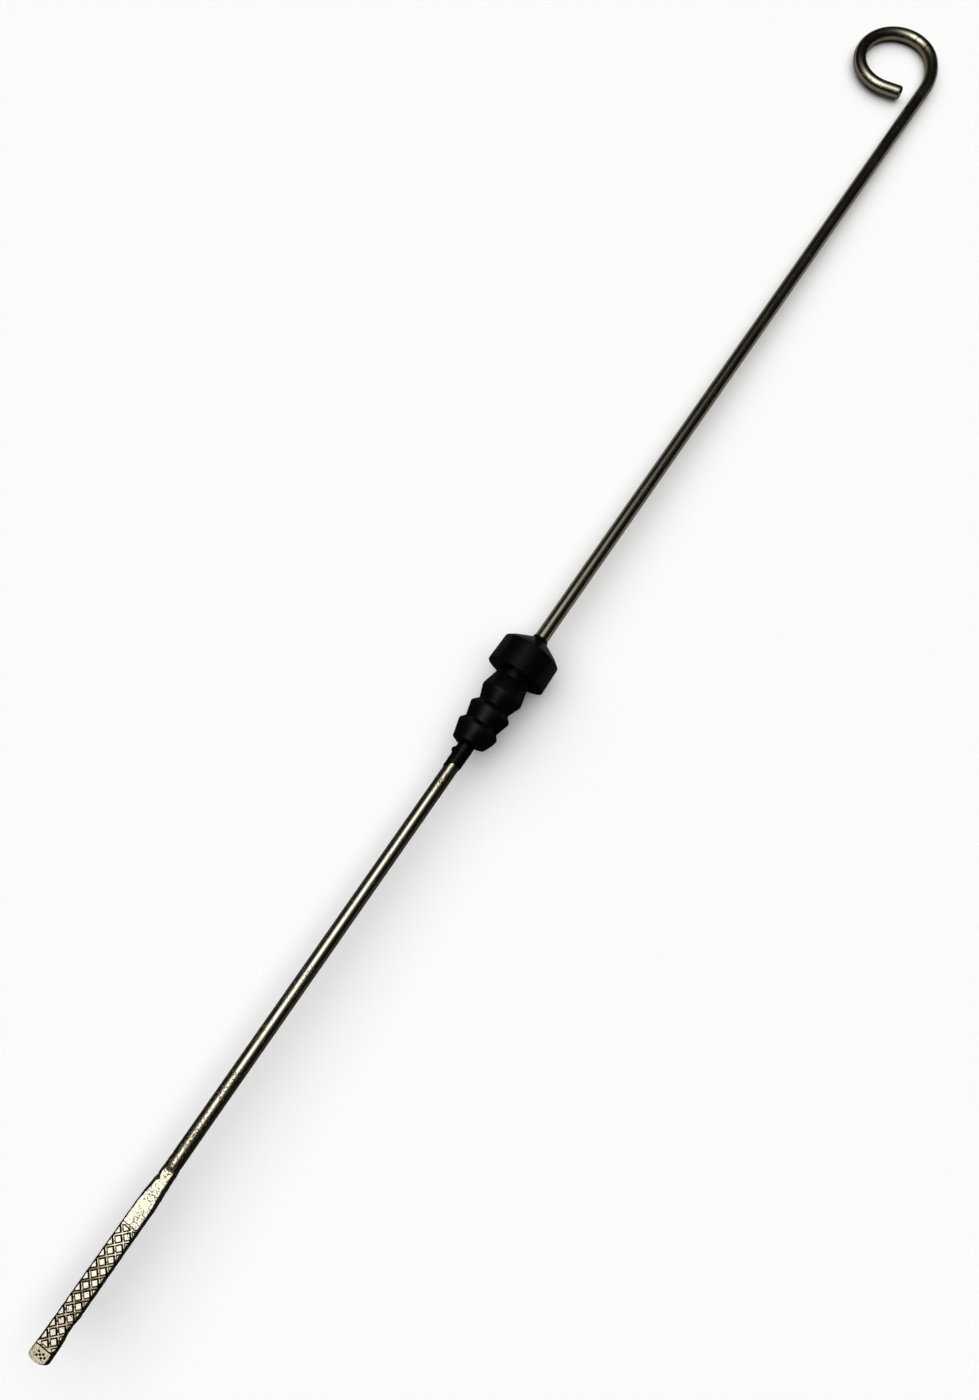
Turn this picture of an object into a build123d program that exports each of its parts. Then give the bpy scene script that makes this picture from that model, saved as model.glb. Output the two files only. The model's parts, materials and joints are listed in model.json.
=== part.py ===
from build123d import *
import os
from math import acos, asin, atan2, cos, degrees, hypot, radians, sin

# Engine oil dipstick: one formed steel wire with a rubber stopper moulded round it.
# Sizes are in millimetres. The pieces are shaped with the blade's tip at the origin,
# the wire along +X, the loop curling towards +Y and the marked face of the blade up.
# At the end both are laid down as they rest on a table, on the head and on the loop.

# Wire and finger loop
wire_dia = 4.0
overall_length = 456.2      # blade tip to the outer edge of the loop
loop_inner_dia = 19.4
lead_in_radius = 20.0       # wider bend where the shank runs into the loop
lead_in_turn = 35.5         # degrees
loop_end_straight = 5.7
loop_end_gap = 3.2          # from the cut end to the shank
loop_end_bevel = 0.6

# Pressed blade, stations measured from the tip
blade_tip_width = 5.2
blade_heel_width = 4.9
blade_press = 0.75          # depth of each face below the wire's surface
heel_press = 0.45           # the same at the shoulder
tip_bulge = 0.4             # how far the end stands out at its middle
tip_corner = 0.8
low_mark = 3.5
high_mark = 33.65
narrowing_start = 35.3
narrowing_end = 45.0
heel_start = 41.0           # between these the faces rise from one depth to the other
heel_end = 45.5
shoulder = 48.5
shoulder_ramp = 1.2         # length of the slope back up to the round wire

# Level lines and cross-hatch, pressed into the upper face of the blade
mark_width = 0.7
mark_floor = 0.4
hatch_pitch = 2.06
hatch_angle = 45
hatch_aside = 0.1           # shift of the hatch towards -Y
groove_width = 0.88
groove_floor = 0.42
groove_depth = 0.3

# Rubber stopper
seat_from_tip = 197.4       # underside of the head
neck_dia = 10.0
neck_length = 2.1
neck_taper = 4.4            # length of the slope from the last barb down to the neck
barb_count = 3
barb_pitch = 5.8
barb_dia = 12.0
barb_land = 0.5             # short cylinder on each crest, which seals in the tube
barb_back = 1.4             # length of the slope behind each crest
barb_root_dia = 9.1
first_rise = 4.2            # length of the slope up to the first crest
nose_length = 0.9
nose_tip_dia = 5.6
tail_length = 7.2
tail_wall = 0.3
head_dia = 17.6
head_top_dia = 17.2
head_height = 7.95
head_bevel = 0.4            # on the rim between the side and the sloping top
top_height = 4.0            # length of the sloping top
lip_wall = 0.25
lip_length = 1.0

cut_margin = 1.0            # how far a cutting tool runs past what it cuts

# Worked out from the sizes above
wire_r = wire_dia / 2
loop_r = loop_inner_dia / 2 + wire_r
bend_step = lead_in_radius - loop_r
loop_x = overall_length - wire_r - loop_r
loop_y = lead_in_radius - bend_step * cos(radians(lead_in_turn))
bend_start = loop_x - bend_step * sin(radians(lead_in_turn))
end_reach = hypot(loop_r + wire_r, loop_end_straight)
end_rise = loop_y - wire_r - loop_end_gap
loop_turn = 360 - degrees(acos(end_rise / end_reach)) - degrees(atan2(loop_end_straight, loop_r + wire_r))
face_z = wire_r - blade_press
heel_z = wire_r - heel_press


def wire_blank():
    """The straight wire, spread at the blade: its outline turned round the X axis."""
    tip_r = blade_tip_width / 2
    heel_r = blade_heel_width / 2
    with BuildSketch() as outline:
        with BuildLine():
            end = TangentArc((0, 0), (tip_bulge, tip_r), tangent=(0, 1))
            side = Line(end @ 1, (narrowing_start, heel_r))
            narrowing = Spline(side @ 1, (narrowing_end, wire_r), tangents=[(1, 0), (1, 0)])
            Polyline(narrowing @ 1, (bend_start, wire_r), (bend_start, 0), (0, 0))
        make_face()
        corner = outline.vertices().sort_by_distance((tip_bulge, tip_r))[0]
        fillet(corner, tip_corner)
    return revolve(outline.sketch, Axis.X)


def finger_loop():
    """The bent end: a wide bend, the loop and a short straight up to the bevelled cut."""
    with BuildLine() as path:
        CenterArc((bend_start, lead_in_radius), lead_in_radius, -90, lead_in_turn)
        turn = CenterArc((loop_x, loop_y), loop_r, lead_in_turn - 90, loop_turn - lead_in_turn)
        PolarLine(turn @ 1, loop_end_straight, loop_turn)
    section = Plane((bend_start, 0, 0), x_dir=(0, 1, 0), z_dir=(1, 0, 0)) * Circle(wire_r)
    loop = sweep(section, path.wire())
    cut_end = loop.faces().sort_by_distance(path.wire() @ 1)[0]
    return chamfer(cut_end.edges(), loop_end_bevel)


def press_tool():
    """What the die takes off the upper side: flat over the blade, with a slope at the shoulder."""
    top = wire_r + blade_tip_width
    ramp_slope = shoulder_ramp / heel_press
    outline = Polyline(
        (-cut_margin, face_z),
        (heel_start, face_z),
        (heel_end, heel_z),
        (shoulder, heel_z),
        (shoulder + (top - heel_z) * ramp_slope, top),
        (-cut_margin, top),
        close=True,
    )
    return extrude(Plane.XZ * make_face(outline), amount=blade_tip_width, both=True)


def groove(x, y, angle, width, floor):
    """A straight groove with sloping sides through (x, y) on the blade's upper face."""
    spread = cut_margin * (width - floor) / (2 * groove_depth)
    section = Polyline(
        (-floor / 2, -groove_depth),
        (floor / 2, -groove_depth),
        (width / 2 + spread, cut_margin),
        (-width / 2 - spread, cut_margin),
        close=True,
    )
    turn = radians(angle)
    along = (cos(turn), sin(turn), 0)
    across = (-sin(turn), cos(turn), 0)
    place = Plane((x, y, face_z), x_dir=across, z_dir=along)
    half_length = (blade_tip_width / 2 + abs(y) + width) / sin(turn)
    return extrude(place * make_face(section), amount=half_length, both=True)


def blade_marks():
    """Both level lines, and the crossed grooves that fill the field between them."""
    lines = [groove(x, 0, 90, mark_width, mark_floor) for x in (low_mark, high_mark)]
    field_length = high_mark - low_mark
    field_middle = (high_mark + low_mark) / 2
    field = Pos(field_middle, 0, face_z) * Box(field_length, 2 * blade_tip_width, 2 * cut_margin)
    spacing = hatch_pitch / sin(radians(hatch_angle))
    crossing_y = -hatch_aside - hatch_pitch / cos(radians(hatch_angle)) / 4
    reach = field_length / 2 + blade_tip_width / sin(radians(hatch_angle))
    count = int(reach / spacing)
    hatch = []
    for step in range(-count, count + 1):
        for angle in (hatch_angle, 180 - hatch_angle):
            bar = groove(field_middle + step * spacing, crossing_y, angle, groove_width, groove_floor)
            hatch.append(bar & field)
    return lines + hatch


def make_rod():
    upper_tool = press_tool()
    rod = wire_blank() + finger_loop()
    rod = rod - upper_tool - mirror(upper_tool, Plane.XY)
    return rod - blade_marks()


def make_stopper():
    """The moulding: its profile from the tail to the lip, turned round the wire."""
    neck_x = seat_from_tip - neck_length
    first_crest = neck_x - neck_taper - (barb_count - 1) * barb_pitch
    nose_end = first_crest - barb_land - first_rise
    nose_x = nose_end - nose_length
    head_top = seat_from_tip + head_height
    tail_r = wire_r + tail_wall
    lip_r = wire_r + lip_wall
    lip_x = head_top + top_height

    barbs = [(nose_end, barb_root_dia / 2)]
    for step in range(barb_count):
        crest = first_crest + step * barb_pitch
        barbs += [
            (crest - barb_land, barb_dia / 2),
            (crest, barb_dia / 2),
            (crest + barb_back, barb_root_dia / 2),
        ]
    barbs.pop()             # behind the last crest comes the long slope to the neck

    with BuildSketch() as profile:
        with BuildLine():
            Polyline(
                (nose_x - tail_length, wire_r),
                (nose_x - tail_length, tail_r),
                (nose_x, tail_r),
                (nose_x, nose_tip_dia / 2),
                *barbs,
                (neck_x, neck_dia / 2),
                (seat_from_tip, neck_dia / 2),
                (seat_from_tip, head_dia / 2),
                (head_top, head_top_dia / 2),
                (lip_x, lip_r),
                (lip_x + lip_length, lip_r),
                (lip_x + lip_length, wire_r),
                close=True,
            )
        make_face()
        top_rim = profile.vertices().sort_by_distance((head_top, head_top_dia / 2))[0]
        chamfer(top_rim, head_bevel)
    return revolve(profile.sketch, Axis.X)


def rest_pitch():
    """Slope of the wire, in degrees, when the loop and the head's rim touch the table."""
    rims = [(seat_from_tip, head_dia / 2), (seat_from_tip + head_height, head_top_dia / 2)]
    loop_far = overall_length - wire_r
    slopes = []
    for rim_x, rim_r in rims:
        run = loop_far - rim_x
        slopes.append(atan2(rim_r, run) - asin(wire_r / hypot(run, rim_r)))
    return degrees(max(slopes))


tilt = Rot(0, rest_pitch(), 0)
pieces = {"rod": tilt * make_rod(), "stopper": tilt * make_stopper()}
box = pieces["rod"].bounding_box().add(pieces["stopper"].bounding_box())
to_table = Pos(-box.center().X, -box.center().Y, -box.min.Z)

os.makedirs("parts", exist_ok=True)
for name, piece in pieces.items():
    export_step(to_table * piece, f"parts/{name}.step")
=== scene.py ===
import bpy
import json
import numpy as np
from math import radians
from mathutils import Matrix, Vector


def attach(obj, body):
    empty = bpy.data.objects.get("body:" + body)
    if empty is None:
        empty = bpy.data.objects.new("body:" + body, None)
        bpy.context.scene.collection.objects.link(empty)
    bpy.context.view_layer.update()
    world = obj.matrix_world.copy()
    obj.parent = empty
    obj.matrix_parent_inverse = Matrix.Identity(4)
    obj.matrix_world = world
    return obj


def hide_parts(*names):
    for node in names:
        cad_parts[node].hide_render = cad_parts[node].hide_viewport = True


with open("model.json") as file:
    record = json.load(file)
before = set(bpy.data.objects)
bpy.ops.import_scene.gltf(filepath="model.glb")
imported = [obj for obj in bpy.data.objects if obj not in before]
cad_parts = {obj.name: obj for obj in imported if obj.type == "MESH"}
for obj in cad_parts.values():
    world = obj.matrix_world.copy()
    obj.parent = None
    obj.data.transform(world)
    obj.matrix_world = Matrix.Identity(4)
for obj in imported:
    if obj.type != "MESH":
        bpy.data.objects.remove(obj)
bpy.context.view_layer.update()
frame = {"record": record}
scene = bpy.context.scene
print("stage: frame loaded")

# The wire's own frame, in millimetres: x from the blade's tip along the wire, y to the loop's side, z up.
# The plug mount lies on the wire's axis at a known distance from the tip and points to it.
millimetre = 0.001
plugFromTip = 184.85
plug = next(mount for mount in frame["record"]["mounts"] if mount["name"] == "tube_plug")
toTip = np.array(plug["axis"])
along = -toTip
side = np.array([0.0, 1.0, 0.0])
up = np.cross(along, side)
tipPlace = np.array(plug["pos_m"]) + millimetre * plugFromTip * toTip


def toTable(x, y, z):
    # The tip's place plus each distance along its own direction, in metres
    offset =x[..., None] * along + y[..., None] * side + z[..., None] * up
    return tipPlace + millimetre * offset


waves = [(1.0, 1.0, 1.0), (2.31, 1.7, 1.0), (4.73, 2.9, 0.7)]     # rate, shift and weight of each sine


def wander(t, seed):
    # A slow uneven wave between about -1 and 1: sines whose lengths don't divide each other
    total = sum(weight * np.sin(rate * t + shift * seed) for rate, shift, weight in waves)
    return total / sum(weight for rate, shift, weight in waves)


def easeStep(t):
    # From 0 to 1 without a corner at either end
    t = np.clip(t, 0, 1)
    return t * t * (3 - 2 * t)


def gridPiece(name, points, mapAlong, mapRound, attributes):
    # A tube of rows by columns: quads join neighbouring rows, the last column joins the first,
    # and one flat polygon closes each end
    rows, columns = points.shape[:2]
    index = np.arange(rows * columns).reshape(rows, columns)
    after = np.roll(index, -1, axis=1)
    quads = np.stack([index[:-1], after[:-1], after[1:], index[1:]], axis=-1).reshape(-1, 4)
    ends = [index[0, ::-1].tolist(), index[-1].tolist()]
    mesh = bpy.data.meshes.new(name)
    mesh.from_pydata(points.reshape(-1, 3), [], quads.tolist() + ends)

    # The map runs along the rows and once round the columns
    mapNext = np.append(mapRound[1:], 1.0)
    low, high = mapAlong[:-1, None], mapAlong[1:, None]
    corners = [(low, mapRound), (low, mapNext), (high, mapNext), (high, mapRound)]
    quadMap = np.stack([np.stack(np.broadcast_arrays(u, v), axis=-1) for u, v in corners], axis=2)
    endMap = np.zeros((2 * columns, 2))
    mapValues = np.concatenate([quadMap.reshape(-1, 2), endMap]).astype(np.float32)
    uvMap = mesh.uv_layers.new(name="surfaceMap")
    uvMap.data.foreach_set("uv", mapValues.ravel())
    for key, values in attributes.items():
        perPoint = np.broadcast_to(values, (rows, columns)).astype(np.float32)
        layer = mesh.attributes.new(key, "FLOAT", "POINT")
        layer.data.foreach_set("value", perPoint.ravel())
    mesh.polygons.foreach_set("use_smooth", np.ones(len(mesh.polygons), bool))
    mesh.update()
    piece = bpy.data.objects.new(name, mesh)
    scene.collection.objects.link(piece)
    return piece


# Short ways to build materials: each adds one node and gives back what the next one needs
def addNode(tree, kind, inputs, **settings):
    made = tree.nodes.new(kind)
    for key, value in settings.items():
        setattr(made, key, value)
    for key, value in inputs.items():
        if isinstance(value, bpy.types.NodeSocket):
            tree.links.new(value, made.inputs[key])
        else:
            made.inputs[key].default_value = value
    return made


def newMaterial(name):
    material = bpy.data.materials.new(name)
    material.use_nodes = True
    material.node_tree.nodes.clear()
    return material, material.node_tree


def readAttribute(tree, name):
    return addNode(tree, "ShaderNodeAttribute", {}, attribute_name=name).outputs["Fac"]


def addNoise(tree, place, scale, detail):
    inputs = {"Vector": place, "Scale": scale, "Detail": detail}
    return addNode(tree, "ShaderNodeTexNoise", inputs).outputs["Fac"]


def addMath(tree, operation, *values):
    return addNode(tree, "ShaderNodeMath", dict(enumerate(values)), operation=operation).outputs["Value"]


def addRange(tree, value, fromRange, toRange=(0.0, 1.0)):
    inputs = {
        "Value": value,
        "From Min": fromRange[0],
        "From Max": fromRange[1],
        "To Min": toRange[0],
        "To Max": toRange[1],
    }
    return addNode(tree, "ShaderNodeMapRange", inputs).outputs["Result"]


def mixColours(tree, share, first, second):
    # The node's sockets 6 and 7 are its two colours, and its output 2 is the mixed one
    inputs = {"Factor": share, 6: first, 7: second}
    return addNode(tree, "ShaderNodeMix", inputs, data_type="RGBA").outputs[2]


def addBump(tree, height, strength, distance, **more):
    inputs = {"Strength": strength, "Distance": distance, "Height": height}
    return addNode(tree, "ShaderNodeBump", inputs, **more)


def addSurface(tree, shader):
    addNode(tree, "ShaderNodeOutputMaterial", {"Surface": shader.outputs[0]})


# Rod: one wire, pressed flat at the blade and bent into the finger loop.
# Here and below, a pair of lists is a table: places along the wire, then the value at each place
wire = {
    "radius": 2.0,
    "bendStart": 437.6802,
    "leadRadius": 20.0,
    "leadTurn": 35.5,
    "loopRadius": 11.7,
    "loopTurn": 280.2315,
    "endStraight": 5.7,
    "endRound": 1.1,
    "endRings": (0.75, 0.5, 0.25, 0.05),
    "upperColumns": 90,
    "lowerColumns": 12,
    "sideColumns": 9,
    "upperReach": 64.0,
    "tipRows": 16,
    "tipFirst": 0.03,
    "fieldStep": 0.075,
    "heelStep": 0.22,
    "shankRows": 70,
    "bendRows": 130,
    "creaseStep": 0.05,
    "endRows": 8,
}
blade = {
    "tipRadius": 2.6,
    "heelRadius": 2.45,
    "tipLength": 1.2,
    "tipSquareness": (3.6, 2.2),        # left and right corner
    "faceHeight": 1.25,
    "heelHeight": 1.55,
    "heelStart": 35.3,
    "heelEnd": 47.0,
    "lowMark": 3.5,
    "highMark": 33.65,
    "narrowingStart": 38.0,
    "narrowingEnd": 47.0,
    "shoulder": 48.5,
    "shoulderSlope": 0.375,
    "fieldEnd": 35.0,
    "pressEnd": 52.0,
    "faceBlend": 0.1,
    "rollPlaces": [0, 3.4, 4.5, 33.65, 35.3, 40.0, 44.0, 46.2],
    "leftRoll": [0.14, 0.14, 0.3, 0.32, 0.26, 0.26, 0.42, 0.3],
    "rightRoll": [0.52, 0.52, 0.44, 0.45, 0.45, 0.42, 0.45, 0.26],
    "rollDrop": 1.2,
    "rollBlend": 0.3,
    "leastEdge": 0.1,
    "bite": (45.9, 0.45, 0.45),         # place, length and depth
    "edgeWander": 0.1,
    "edgeRate": 2.3,
    "leftSwell": ([0, 3, 5, 34, 44, 47, 49.7], [0.26, 0.26, 0.15, 0.12, 0.15, 0.08, 0.0]),
    "rightSwell": (
        [0, 4, 6.5, 8, 10, 12, 31, 36, 43, 48, 49.7],
        [0.12, 0.12, 0.0, -0.28, -0.28, -0.03, 0.0, 0.08, 0.18, 0.15, 0.0],
    ),
    "sideWander": 0.05,
    "sideRate": 0.9,
    "sideFrom": 3.0,
    "sideBlend": 6.0,
}
marks = {
    "lineWidth": 0.7,
    "lineFloor": 0.4,
    "pitch": 2.06,
    "crossingPlace": -0.828,
    "width": 0.87,
    "floor": 0.3,
    "depth": 0.3,
    "dots": [(1.35, 0.8), (2.25, 0.8), (1.8, 0.15), (1.35, -0.5), (2.25, -0.5), (1.8, -1.2)],
    "dotRadius": 0.22,
    "dotDepth": 0.15,
}
# Dirt and wear, with painted shade in the same colours on the grooves' walls and under the loop
soil = {
    "wear": (
        [0, 3.2, 4.0, 33, 34, 40, 41.5, 43.5, 45, 49, 50, 57, 66, 165, 215, 430],
        [0.9, 0.9, 0.35, 0.35, 0.75, 0.75, 1.0, 1.0, 0.8, 0.9, 1.2, 1.05, 0.8, 0.7, 0.4, 0.3],
    ),
    "film": (
        [0, 3.2, 3.8, 44.5, 46, 49.5, 51, 55, 62],
        [0.28, 0.28, 0.0, 0.0, 0.12, 0.12, 0.14, 0.1, 0.0],
    ),
    # painted shade: how strongly the grooves' walls are darkened
    "wallShade": 11.0,
    "grooveFilm": ([6, 14, 22, 30], [1.0, 0.95, 0.85, 0.6]),
    "patchMean": 0.45,
    "patchSwing": 1.2,
    "patchRates": (1.9, 2.3),           # along and across the blade
    # painted reflection: the loop's underside is darkened for its shadow mirrored from the table, from
    # these places on
    "underShade": ([450, 454], [0.0, 0.9]),
    "underEdge": -0.12,
    "underBlend": 0.25,
    "creases": [(454.67, 0.9), (459.36, 0.8)],
    "creaseWidth": 0.32,
    "creaseReach": 0.4,
    "creaseSway": 0.25,
    "creaseRate": 3.0,
    "creaseEdge": 0.2,
}


def grooveDepth(distance, width, floor):
    # Trapezium across a groove: flat floor, then straight walls up to the face
    return marks["depth"] * np.clip((width / 2 - np.abs(distance)) / ((width - floor) / 2), 0, 1)


def bladeMarks(x, y):
    # Depth below the face: the deepest of the two level lines, two crossed sets of 45 degree grooves
    # at an even pitch between the lines, and a few punched dots at the tip
    levels = (blade["lowMark"], blade["highMark"])
    cuts = [grooveDepth(x - level, marks["lineWidth"], marks["lineFloor"]) for level in levels]
    inField = (x > levels[0]) & (x < levels[1])
    middle = sum(levels) / 2
    for lean in (-1, 1):
        count = ((x - middle) + lean * (y - marks["crossingPlace"])) / (np.sqrt(2) * marks["pitch"])
        distance = (count - np.round(count)) * marks["pitch"]
        cuts.append(inField * grooveDepth(distance, marks["width"], marks["floor"]))
    for dotX, dotY in marks["dots"]:
        away = np.hypot(x - dotX, y - dotY) / marks["dotRadius"]
        cuts.append(marks["dotDepth"] * np.exp(-away ** 4))
    return np.max(np.broadcast_arrays(*cuts), axis=0)


def wireColumns():
    # Angles round the section, densest over the upper face
    reach = wire["upperReach"]
    parts = [
        np.linspace(90 - reach, 90 + reach, wire["upperColumns"], endpoint=False),
        np.linspace(90 + reach, 270 - reach, wire["sideColumns"], endpoint=False),
        np.linspace(270 - reach, 270 + reach, wire["lowerColumns"], endpoint=False),
        np.linspace(270 + reach, 450 - reach, wire["sideColumns"], endpoint=False),
    ]
    return np.radians(np.concatenate(parts))


def wireRows(total):
    # Distances along the wire, densest where grooves and bends are
    tip = blade["tipLength"] * np.linspace(wire["tipFirst"], 1, wire["tipRows"]) ** 2
    field = np.arange(blade["tipLength"] + wire["fieldStep"], blade["fieldEnd"], wire["fieldStep"])
    heel = np.arange(blade["fieldEnd"], blade["pressEnd"], wire["heelStep"])
    shank = np.linspace(blade["pressEnd"], wire["bendStart"], wire["shankRows"], endpoint=False)
    bends = [np.linspace(wire["bendStart"], total - wire["endRound"], wire["bendRows"])]
    reach = soil["creaseReach"]
    for place, strength in soil["creases"]:
        bends.append(np.arange(place - reach, place + reach, wire["creaseStep"]))
    quarter = np.linspace(0, np.pi / 2, wire["endRows"] + 1)[1:]
    end = total - wire["endRound"] * (1 - np.sin(quarter))
    return np.concatenate([tip, field, heel, shank, np.sort(np.concatenate(bends)), end])


def wirePath(s, bendEnds):
    # Heading turns evenly through the lead-in bend and the loop; the path sums chords of each small arc
    turns = np.radians([0, wire["leadTurn"], wire["loopTurn"], wire["loopTurn"]])
    heading = np.interp(s, bendEnds, turns)
    chord = np.diff(s) * np.sinc(np.diff(heading) / (2 * np.pi))
    middle = (heading[1:] + heading[:-1]) / 2
    pathX = s[0] + np.append(0, np.cumsum(chord * np.cos(middle)))
    pathY = np.append(0, np.cumsum(chord * np.sin(middle)))
    return heading, pathX, pathY


def wireRadius(s, total):
    # Slow taper from the tip to the heel, smooth narrowing to the wire, quarter circle at the cut end
    narrowing = (s - blade["narrowingStart"]) / (blade["narrowingEnd"] - blade["narrowingStart"])
    taper = np.interp(s, [0, blade["narrowingStart"]], [blade["tipRadius"], blade["heelRadius"]])
    radius = taper + (wire["radius"] - taper) * easeStep(narrowing)
    fromEnd = np.clip(wire["endRound"] - (total - s), 0, None)
    return radius - wire["endRound"] + np.sqrt(wire["endRound"] ** 2 - fromEnd ** 2)


def bladeSpread(s, radius, sideways):
    # The radius plus each side's own swelling and a slow wave, times a power curve that rounds the tip,
    # squarer on the left than on the right
    tipPart = np.clip(s / blade["tipLength"], 0, 1)
    curves = [(1 - (1 - tipPart) ** square) ** (1 / square) for square in blade["tipSquareness"]]
    leftRound, rightRound = [curve[:, None] for curve in curves]
    rounding = rightRound + (leftRound - rightRound) * (1 + sideways) / 2
    leftSwell, rightSwell = [np.interp(s, *blade[key])[:, None] for key in ("leftSwell", "rightSwell")]
    swell = np.where(sideways > 0, leftSwell, rightSwell)
    begun = easeStep((s - blade["sideFrom"]) / blade["sideBlend"])
    lump = blade["sideWander"] * (s < blade["pressEnd"]) * begun
    swell = swell + lump[:, None] * wander(blade["sideRate"] * s[:, None], 2 * np.sign(sideways))
    return (radius[:, None] + swell * np.abs(sideways)) * rounding


def rolledEdges(s, y, radius, spread, flat):
    # Drop of the upper face: the square of how far a point lies past the line where its edge starts to roll
    edge = np.sqrt(np.clip(spread ** 2 - flat[:, None] ** 2, blade["leastEdge"] ** 2, None))
    left, right = [np.interp(s, blade["rollPlaces"], blade[key]) for key in ("leftRoll", "rightRoll")]
    bitePlace, biteLength, biteDepth = blade["bite"]
    left = left + biteDepth * np.exp(-((s - bitePlace) / biteLength) ** 2)
    roll = np.where(y > 0, left[:, None], right[:, None])
    roll = roll + blade["edgeWander"] * wander(blade["edgeRate"] * s[:, None], np.sign(y) + 1)
    past = np.clip(np.abs(y) - edge + roll, 0, None)
    drop = blade["rollDrop"] * np.clip((radius - flat) / blade["rollBlend"], 0, 1)
    return drop[:, None] * past ** 2


def wireSection(s, angle, total):
    # A circle cut off level above and below; marks and rolled edges lower the upper cut
    sideways = np.cos(angle)
    radius = wireRadius(s, total)
    spread = bladeSpread(s, radius, sideways)
    y = spread * sideways
    z = spread * np.sin(angle)
    flat = np.interp(s, [blade["heelStart"], blade["heelEnd"]], [blade["faceHeight"], blade["heelHeight"]])
    flat = flat + blade["shoulderSlope"] * np.clip(s - blade["shoulder"], 0, None)
    groove = bladeMarks(s[:, None], y)
    face = flat[:, None] - groove - rolledEdges(s, y, radius, spread, flat)
    pressed = easeStep((z - face) / blade["faceBlend"]) * (s < blade["pressEnd"])[:, None]
    return y, np.clip(z, -flat[:, None], face), groove, pressed


def wireDirtAndShade(s, angle, y, groove):
    # The most of: painted shade on the grooves' walls, patchy oil on their floors, film along the blade,
    # a painted dark reflection under the loop, and thin wavy lines across the loop's upper side
    share = groove / marks["depth"]
    rateAlong, rateAcross = soil["patchRates"]
    patches = soil["patchMean"] + soil["patchSwing"] * wander(rateAlong * s[:, None], rateAcross * y)
    # painted reflection of shadow: how far each point lies on the loop's underside
    underside = easeStep((soil["underEdge"] - np.sin(angle)) / soil["underBlend"])
    layers = [
        # painted shade on the grooves' walls
        np.clip(soil["wallShade"] * share * (1 - share), 0, 1),
        np.interp(s, *soil["grooveFilm"])[:, None] * np.clip(patches, 0, 1) * share,
        np.interp(s, *soil["film"])[:, None],
        # painted reflection of the loop's shadow, on its underside
        np.interp(s, *soil["underShade"])[:, None] * underside,
    ]
    for place, strength in soil["creases"]:
        line = place + soil["creaseSway"] * wander(soil["creaseRate"] * angle, place)
        crossing = strength * np.exp(-((s[:, None] - line) / soil["creaseWidth"]) ** 2)
        layers.append(crossing * (np.sin(angle) > soil["creaseEdge"]))
    return np.max(np.broadcast_arrays(*layers), axis=0)


def buildRod():
    # Each section stands square to the path; rings closing in on the axis cover the cut end
    bendLength = radians(wire["leadTurn"]) * wire["leadRadius"]
    loopLength = radians(wire["loopTurn"] - wire["leadTurn"]) * wire["loopRadius"]
    bendEnds = np.cumsum([wire["bendStart"], bendLength, loopLength, wire["endStraight"]])
    total = bendEnds[-1]
    s = wireRows(total)
    angle = wireColumns()
    heading, pathX, pathY = [values[:, None] for values in wirePath(s, bendEnds)]
    y, z, groove, pressed = wireSection(s, angle, total)
    # dirt, with painted shade on the grooves' walls and under the loop
    dirtAndShade = wireDirtAndShade(s, angle, y, groove)
    points = toTable(pathX - y * np.sin(heading), pathY + y * np.cos(heading), z)
    last = points[-1]
    centre = last.mean(axis=0)
    rings = [centre + (last - centre) * share for share in wire["endRings"]]
    bare = np.zeros((len(rings), len(angle)))
    s = np.append(s, [total] * len(rings))
    attributes = {
        "dirtAndShade": np.concatenate([dirtAndShade, bare]),
        "pressed": np.concatenate([pressed, bare]),
        "wear": np.interp(s, *soil["wear"])[:, None],
    }
    mapRound = (angle - angle[0]) / (2 * np.pi)
    return gridPiece("dipstickRod", np.concatenate([points, rings]), millimetre * s, mapRound, attributes)


rod = buildRod()
print("stage: rod", len(rod.data.polygons))


# Stopper: the moulding's profile turned round the wire, with soft edges and a ragged tail
stopper = {
    "profile": [                        # place along the wire and radius
        (166.3, 1.93), (166.6, 2.2), (173.3, 2.3), (173.4, 2.8), (174.15, 4.65),
        (179.0, 6.0), (179.5, 6.0), (180.8, 4.95),
        (184.75, 6.05), (185.25, 6.05), (186.85, 4.6),
        (190.6, 6.1), (191.1, 6.1), (195.5, 5.0), (197.4, 5.0),
        (197.4, 8.8), (205.35, 8.6), (206.5, 7.2), (208.0, 4.75),
        (209.35, 2.4), (210.2, 2.25), (210.35, 1.93),
    ],
    "spacing": 0.08,
    "softening": 0.32,
    "columns": 136,
    "noseSlant": 1.3,
    "noseFrom": 173.0,
    "noseTo": 178.0,
    "noseBlend": 2.0,
    "tailStart": 166.0,
    "tailEnd": 171.0,
    "tailSkew": 0.75,
    "tailNotch": 0.9,
    "tailRagged": 0.2,
    "tailPoints": 5,
    "filmRadii": (2.05, 2.6),
    "filmLumps": 0.07,
    "lumpRates": (3.0, 2.0),            # along and round the tail
    "lumpSeed": 3.0,
    "nubPlace": 171.3,
    "nubHeight": 0.6,
    "nubLength": 0.75,
    "nubWidth": 0.22,
    "crestFrom": 5.6,
    "crestBlend": 0.4,
    "crestEnd": 195.0,
}


def softened(values):
    # Running mean under a rounded window
    half = int(stopper["softening"] / stopper["spacing"] / 2)
    window = np.hanning(2 * half + 3)[1:-1]
    return np.convolve(np.pad(values, half, mode="edge"), window / window.sum(), mode="valid")


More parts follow.
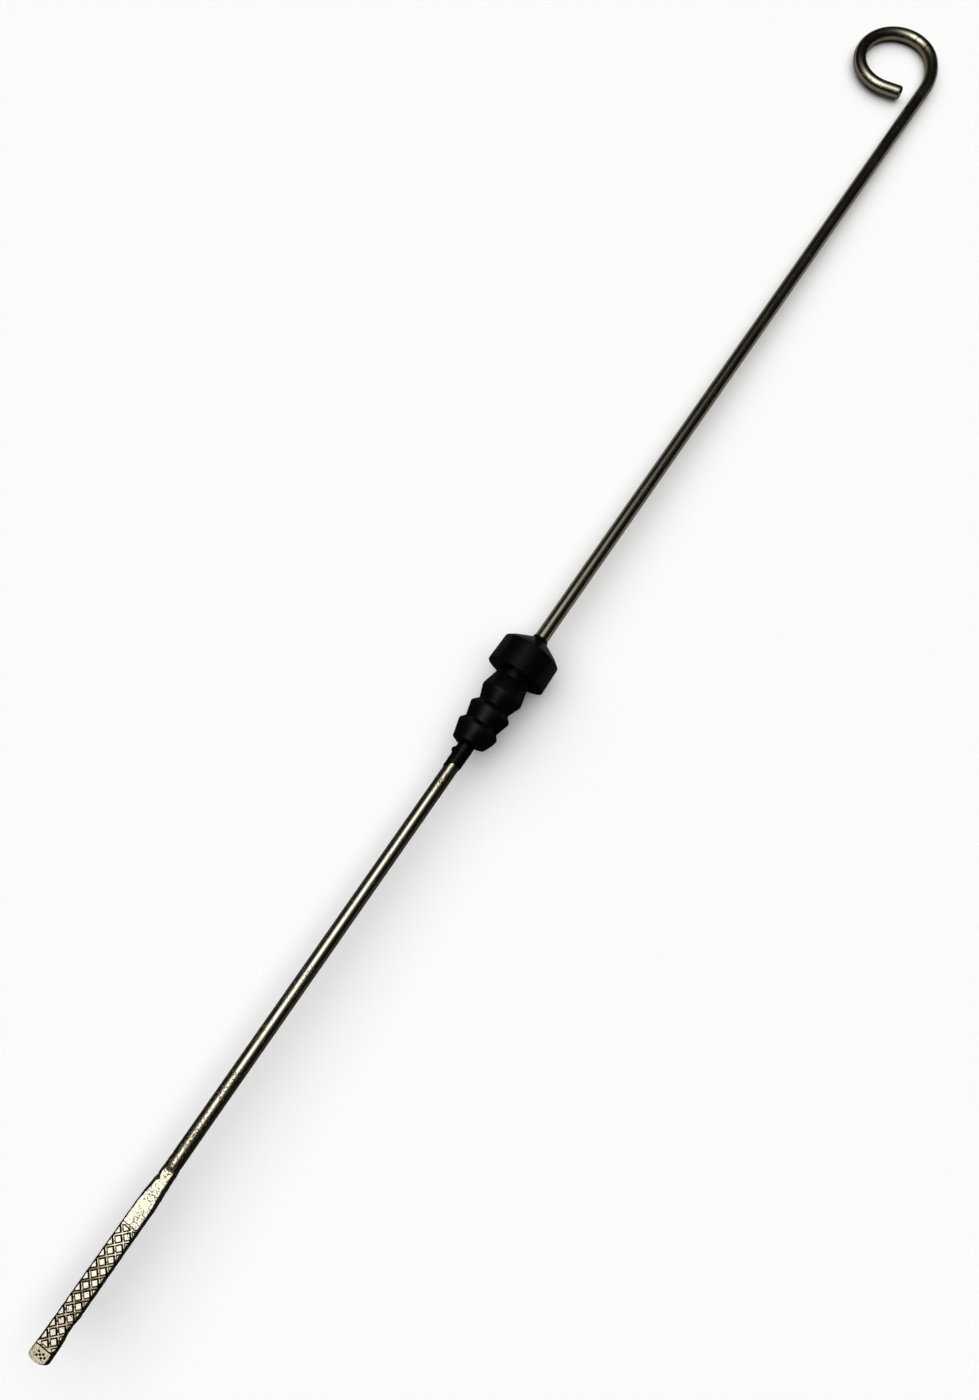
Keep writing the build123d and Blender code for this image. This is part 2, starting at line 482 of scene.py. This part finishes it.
def buildStopper():
    # The corner points are joined by straight lines, sampled evenly, softened and turned round the wire
    corners = np.array(stopper["profile"])
    reach = np.append(0, np.cumsum(np.hypot(*np.diff(corners, axis=0).T)))
    t = np.arange(0, reach[-1], stopper["spacing"])
    x, r = [softened(np.interp(t, reach, column))[:, None] for column in corners.T]
    angle = np.linspace(0, 2 * np.pi, stopper["columns"], endpoint=False)

    # The nose is cut at a slant and the tail ends unevenly: both move points along the wire
    nose = 1 - easeStep((x - stopper["noseFrom"]) / (stopper["noseTo"] - stopper["noseFrom"]))
    nose = nose * easeStep((x - stopper["tailEnd"]) / stopper["noseBlend"])
    tail = 1 - easeStep((x - stopper["tailStart"]) / (stopper["tailEnd"] - stopper["tailStart"]))
    ragged = stopper["tailRagged"] * (1 + np.sin(stopper["tailPoints"] * angle))
    ragged = ragged - stopper["tailSkew"] * np.cos(angle)
    ragged = ragged + stopper["tailNotch"] * np.clip(np.sin(angle), 0, 1) ** 2
    moved = x + stopper["noseSlant"] * (1 - np.cos(angle)) / 2 * nose + tail * ragged

    # The thin films are lumpy, and the tail carries a small nub with steep sides
    thinnest, thickest = stopper["filmRadii"]
    film = (r > thinnest) & (r < thickest)
    rateAlong, rateRound = stopper["lumpRates"]
    lumps = wander(rateAlong * x + rateRound * np.sin(angle), stopper["lumpSeed"] + np.cos(angle))
    fromNub = (x - stopper["nubPlace"]) / stopper["nubLength"]
    roundNub = np.sin(angle / 2) / stopper["nubWidth"]
    nub = np.exp(-fromNub ** 4 - roundNub ** 4)
    grown = r + (stopper["filmLumps"] * lumps + stopper["nubHeight"] * nub) * film
    points = toTable(moved, grown * np.cos(angle), grown * np.sin(angle))
    crest = easeStep((r - stopper["crestFrom"]) / stopper["crestBlend"]) * (x < stopper["crestEnd"])
    return gridPiece("rubberStopper", points, millimetre * t, angle / (2 * np.pi), {"crest": crest})


plugPiece = buildStopper()
print("stage: stopper", len(plugPiece.data.polygons))


# Steel: bright wire with a warm tint, drawn lines, brown stains, dark pits where it is worn, oil and grime,
# and painted shade in the oil and grime colours on the grooves' walls and under the loop
steel = {
    "tint": (0.66, 0.605, 0.47, 1),
    "stain": (0.40, 0.34, 0.22, 1),
    "face": (0.72, 0.68, 0.55, 1),
    "oil": (0.42, 0.34, 0.19, 1),
    # grime, and the near-black of the painted shade
    "grimeAndShade": (0.024, 0.016, 0.007, 1),
    "thinDirtAndShade": (0.0, 0.5),             # bare steel turns to oil over these amounts of dirt and painted shade
    "thickDirtAndShade": (0.5, 1.0),            # oil turns to grime over these, and the painted shade turns near black
    "mostDirtAndShade": 0.97,
    "stainScale": 140.0,
    "stainDetail": 4.0,
    "stainRange": (0.45, 0.75),
    "mostStain": 0.4,
    "roughRange": (0.3, 0.7),
    "roughness": (0.05, 0.11),
    "faceRoughness": 0.13,              # added where the blade is pressed
    "pitScale": 2700.0,
    "pitDetail": 2.0,
    "clusterScale": 130.0,
    "clusterDetail": 3.0,
    "clusterReach": 0.6,
    "wearRange": (0.0, 1.5),
    "pitLimit": (1.02, 0.81),           # unworn and worn
    "pitEdge": (0.0, 0.04),
    "mostPit": 0.85,
    "pitStrength": 0.6,
    "pitDepth": 0.00005,
    "lineScale": (60.0, 90.0, 1.0),
    "lineDetail": 3.0,
    "lineStrength": 0.12,
    "lineDepth": 0.00003,
}


def steelMaterial():
    material, tree = newMaterial("wireSteel")
    place = addNode(tree, "ShaderNodeTexCoord", {}).outputs["Object"]
    wear = readAttribute(tree, "wear")
    # the rod's dirt together with its painted shade
    soiled = readAttribute(tree, "dirtAndShade")
    pressed = readAttribute(tree, "pressed")
    uvMap = addNode(tree, "ShaderNodeUVMap", {}, uv_map="surfaceMap").outputs["UV"]
    stretched = addNode(tree, "ShaderNodeMapping", {"Vector": uvMap, "Scale": steel["lineScale"]})
    lines = addNoise(tree, stretched.outputs["Vector"], 1.0, steel["lineDetail"])
    stains = addNoise(tree, place, steel["stainScale"], steel["stainDetail"])

    # Fine noise that stands over a limit makes pits; wear lowers the limit, and slow noise groups them
    pits = addNoise(tree, place, steel["pitScale"], steel["pitDetail"])
    clusters = addNoise(tree, place, steel["clusterScale"], steel["clusterDetail"])
    limit = addRange(tree, wear, steel["wearRange"], steel["pitLimit"])
    grouped = addMath(tree, "MULTIPLY_ADD", clusters, steel["clusterReach"], pits)
    deep = addMath(tree, "SUBTRACT", grouped, limit)
    pitted = addRange(tree, deep, steel["pitEdge"], (0.0, steel["mostPit"]))
    # pits, dirt and the painted shade on the grooves' walls and under the loop
    dirtAndShade = addMath(tree, "MAXIMUM", pitted, addMath(tree, "MULTIPLY", soiled, steel["mostDirtAndShade"]))

    # Colour: tint, stains and pressed faces, then oil, grime and painted shade over them
    stained = addRange(tree, stains, steel["stainRange"], (0.0, steel["mostStain"]))
    colour = mixColours(tree, stained, steel["tint"], steel["stain"])
    colour = mixColours(tree, pressed, colour, steel["face"])
    colour = mixColours(tree, addRange(tree, dirtAndShade, steel["thinDirtAndShade"]), colour, steel["oil"])
    colour = mixColours(tree, addRange(tree, dirtAndShade, steel["thickDirtAndShade"]), colour, steel["grimeAndShade"])
    rough = addRange(tree, stains, steel["roughRange"], steel["roughness"])
    rough = addMath(tree, "MULTIPLY_ADD", pressed, steel["faceRoughness"], rough)
    lineBump = addBump(tree, lines, steel["lineStrength"], steel["lineDepth"])
    pitBump = addBump(tree, pitted, steel["pitStrength"], steel["pitDepth"], invert=True)
    tree.links.new(lineBump.outputs["Normal"], pitBump.inputs["Normal"])
    addSurface(tree, addNode(tree, "ShaderNodeBsdfPrincipled", {
        "Base Color": colour,
        "Metallic": 1.0,
        "Roughness": rough,
        "Normal": pitBump.outputs["Normal"],
    }))
    return material


# Rubber: near-black and satin, a little greyer on the crests that rub in the tube
rubber = {
    "colour": (0.0015, 0.0015, 0.0015, 1),
    "rubbed": (0.003, 0.003, 0.003, 1),
    "patchScale": 260.0,
    "patchDetail": 3.0,
    "roughRange": (0.3, 0.7),
    "roughness": (0.2, 0.3),
    "specular": 0.125,
    "grainScale": 2600.0,
    "grainDetail": 2.0,
    "grainStrength": 0.15,
    "grainDepth": 0.00005,
}


def rubberMaterial():
    material, tree = newMaterial("stopperRubber")
    place = addNode(tree, "ShaderNodeTexCoord", {}).outputs["Object"]
    crest = readAttribute(tree, "crest")
    grain = addNoise(tree, place, rubber["grainScale"], rubber["grainDetail"])
    patches = addNoise(tree, place, rubber["patchScale"], rubber["patchDetail"])
    grainBump = addBump(tree, grain, rubber["grainStrength"], rubber["grainDepth"])
    addSurface(tree, addNode(tree, "ShaderNodeBsdfPrincipled", {
        "Base Color": mixColours(tree, crest, rubber["colour"], rubber["rubbed"]),
        "Roughness": addRange(tree, patches, rubber["roughRange"], rubber["roughness"]),
        "Specular IOR Level": rubber["specular"],
        "Normal": grainBump.outputs["Normal"],
    }))
    return material


rod.data.materials.append(steelMaterial())
plugPiece.data.materials.append(rubberMaterial())
for piece, node, slotName in ((rod, "rod", "steel_wire"), (plugPiece, "stopper", "stopper_rubber")):
    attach(piece, "root")
    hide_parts(node)
print("stage: materials")


# Stage: a white table, a soft key light and fill, and what only reflections see: a dark tent with one
# bright panel, and a darker copy of the table. Tones are in pairs: place along x in metres, and colour
stage = {
    "floorReach": 30.0,
    "floorTone": (0.985, 0.985, 0.98, 1),
    "mirrorLift": 0.00002,
    # painted shade seen only in reflections: the tones dip under the stopper for its shadow, and are
    # darkest under and past the blade
    "mirrorTones": [
        (-5.0, (0.015, 0.014, 0.012, 1)),
        (-0.19, (0.015, 0.014, 0.012, 1)),
        (-0.16, (0.06, 0.058, 0.055, 1)),
        (-0.075, (0.06, 0.058, 0.055, 1)),
        (-0.055, (0.02, 0.019, 0.018, 1)),
        (-0.033, (0.02, 0.019, 0.018, 1)),
        (-0.01, (0.20, 0.19, 0.172, 1)),
        (5.0, (0.21, 0.20, 0.18, 1)),
    ],
    "tentRadius": 6.0,
    "tentRows": 80,
    "tentColumns": 120,
    "tentTop": 1.56,
    "panelLean": (-9.0, 13.0),
    "panelStretch": (1.15, 1.27),       # towards the blade and towards the loop
    "panelAngles": [0, 10, 15, 21.6, 27.9, 34, 38, 44, 48, 57, 65, 180],
    "panelGlow": [2.5, 2.2, 1.6, 0.82, 0.36, 0.155, 0.105, 0.044, 0.024, 0.012, 0.008, 0.006],
    "keyLean": (12.0, 12.0),
    "keyStrength": 3.07,
    "keyAngle": 100.0,
    "fillLean": (0.0, 0.0),
    "fillStrength": 0.14,
    "fillAngle": 160.0,
    "backdrop": 0.955,
}


def leaning(degreesAlong, degreesSide):
    # Direction that leans from straight up by these angles towards +x and +y
    way = np.array([np.tan(radians(degreesAlong)), np.tan(radians(degreesSide)), 1.0])
    return way / np.linalg.norm(way)


def buildTable(name, height, tones):
    # A wide flat band of quads; each station along x has its own tone, and they blend between stations
    reach = stage["floorReach"]
    corners = [(x, y, height) for x, tone in tones for y in (-reach, reach)]
    quads = [(k, k + 2, k + 3, k + 1) for k in range(0, len(corners) - 2, 2)]
    mesh = bpy.data.meshes.new(name)
    mesh.from_pydata(corners, [], quads)
    shades = np.repeat([tone for x, tone in tones], 2, axis=0).astype(np.float32)
    shade = mesh.attributes.new("shade", "FLOAT_COLOR", "POINT")
    shade.data.foreach_set("color", shades.ravel())
    material, tree = newMaterial(name)
    colour = addNode(tree, "ShaderNodeAttribute", {}, attribute_name="shade").outputs["Color"]
    addSurface(tree, addNode(tree, "ShaderNodeBsdfDiffuse", {"Color": colour}))
    mesh.materials.append(material)
    table = bpy.data.objects.new(name, mesh)
    scene.collection.objects.link(table)
    return table


def buildTent():
    # A sphere by latitude and longitude. Its glow falls off with the angle from the panel's direction,
    # slower along the wire than across it
    rows, columns = stage["tentRows"], stage["tentColumns"]
    longitude = np.linspace(0, 2 * np.pi, columns, endpoint=False)
    latitude = np.linspace(-stage["tentTop"], stage["tentTop"], rows)[:, None]
    level = np.cos(latitude)
    ways = np.broadcast_arrays(level * np.cos(longitude), level * np.sin(longitude), np.sin(latitude))
    way = np.stack(ways, axis=-1)
    panelWay = leaning(*stage["panelLean"])
    across = np.cross(panelWay, [1.0, 0.0, 0.0])
    across = across / np.linalg.norm(across)
    lengthwise = np.cross(across, panelWay)
    stretch = np.where(way @ lengthwise < 0, *stage["panelStretch"])
    spread = np.hypot(way @ lengthwise / stretch, way @ across)
    away = np.degrees(np.arctan2(spread, way @ panelWay))
    glow = np.exp(np.interp(away, stage["panelAngles"], np.log(stage["panelGlow"])))
    points = stage["tentRadius"] * way
    mapRound = longitude / (2 * np.pi)
    tent = gridPiece("reflectionTent", points, np.linspace(0, 1, rows), mapRound, {"glow": glow})
    material, tree = newMaterial("tentGlow")
    light = readAttribute(tree, "glow")
    addSurface(tree, addNode(tree, "ShaderNodeEmission", {"Color": (1, 1, 1, 1), "Strength": light}))
    tent.data.materials.append(material)
    return tent


def onlyReflected(piece):
    piece.visible_camera = False
    piece.visible_diffuse = False
    piece.visible_transmission = False
    piece.visible_shadow = False


def addSun(name, strength, angle, lean):
    # A far lamp of this width in degrees, shining from the way that it leans
    lamp = bpy.data.lights.new(name, "SUN")
    lamp.energy = strength
    lamp.angle = radians(angle)
    holder = bpy.data.objects.new(name, lamp)
    holder.rotation_mode = "QUATERNION"
    holder.rotation_quaternion = Vector(leaning(*lean)).to_track_quat("Z", "Y")
    holder.visible_glossy = False
    scene.collection.objects.link(holder)


def buildWorld():
    # Plain white for what the camera, reflections and glass see past the table
    world = bpy.data.worlds.new("studio")
    world.use_nodes = True
    tree = world.node_tree
    tree.nodes.clear()
    rays = addNode(tree, "ShaderNodeLightPath", {}).outputs
    seen = addMath(tree, "MAXIMUM", rays["Is Camera Ray"], rays["Is Glossy Ray"])
    seen = addMath(tree, "MAXIMUM", seen, rays["Is Transmission Ray"])
    strength = addMath(tree, "MULTIPLY", seen, stage["backdrop"])
    shader = addNode(tree, "ShaderNodeBackground", {"Color": (1, 1, 1, 1), "Strength": strength})
    addNode(tree, "ShaderNodeOutputWorld", {"Surface": shader.outputs["Background"]})
    scene.world = world


floorEnds = (-stage["floorReach"], stage["floorReach"])
tableTop = buildTable("tableTop", 0, [(x, stage["floorTone"]) for x in floorEnds])
tableTop.visible_glossy = False
mirroredTable = buildTable("mirroredTable", stage["mirrorLift"], stage["mirrorTones"])
tent = buildTent()
onlyReflected(mirroredTable)
onlyReflected(tent)
addSun("keyLight", stage["keyStrength"], stage["keyAngle"], stage["keyLean"])
addSun("fillLight", stage["fillStrength"], stage["fillAngle"], stage["fillLean"])
buildWorld()
print("stage: table and light")

# Camera: where the photo was taken from, found from the wire's narrowing width in it
view = {
    "place": (-0.085876, -0.042443, 0.255636),
    "turn": (13.1559, 0.8527, -55.8593),
    "lens": 23.99,
    "sensor": 36.0,
    "nearest": 0.01,
}
camera = bpy.data.objects.new("photoCamera", bpy.data.cameras.new("photoCamera"))
camera.location = view["place"]
camera.rotation_euler = [radians(turn) for turn in view["turn"]]
camera.data.lens = view["lens"]
camera.data.sensor_width = view["sensor"]
camera.data.clip_start = view["nearest"]
scene.collection.objects.link(camera)
scene.camera = camera
scene.view_settings.view_transform = "Standard"
print("stage: camera")
